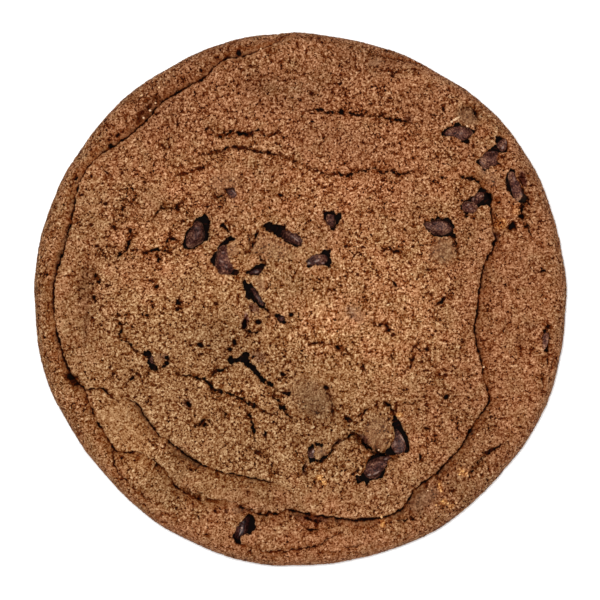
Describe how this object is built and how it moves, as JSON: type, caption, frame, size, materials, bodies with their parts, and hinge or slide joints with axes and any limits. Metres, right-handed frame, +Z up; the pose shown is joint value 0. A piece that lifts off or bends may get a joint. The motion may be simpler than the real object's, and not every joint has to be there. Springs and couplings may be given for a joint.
{
  "type": "chocolate chip cookie",
  "caption": "Round baked cookie with a folded crease around its crown and chocolate chips set in its cracked top; lies on its flat underside.",
  "frame": {"origin": "middle of the flat underside, on the surface that the cookie lies on", "axes": "+Z up through the cookie's thickness; +Y towards the end of the crown where the fold meets the outline, +X to its right seen from above"},
  "size_m": [0.1, 0.1001, 0.0116],
  "materials": {
    "baked_dough": "dry, sandy baked crust with fine cracks",
    "chocolate": "softly glossy dark chocolate"
  },
  "bodies": {
    "root": {"cookie_dough": "baked_dough", "chip_ne_outer": "chocolate", "chip_ne_upper_small": "chocolate", "chip_ne_lower": "chocolate", "chip_almond_west": "chocolate", "chip_kidney_west": "chocolate", "chip_crescent_mid": "chocolate", "chip_triangle_mid": "chocolate", "chip_sliver_mid": "chocolate", "chip_speck_mid": "chocolate", "chip_round_mid": "chocolate", "chip_glossy_mid": "chocolate", "chip_east": "chocolate", "chip_east_gap": "chocolate", "chip_east_grey": "chocolate", "chip_almond_east": "chocolate", "chip_hollow_west": "chocolate", "chip_hollow_mid": "chocolate", "chip_hollow_mid_tail": "chocolate", "chip_buried_north": "chocolate", "chip_edge_east": "chocolate", "chip_crescent_south": "chocolate", "chip_glossy_south": "chocolate", "chip_glossy_edge": "chocolate", "chip_ring_south": "chocolate"}
  },
  "joints": []
}
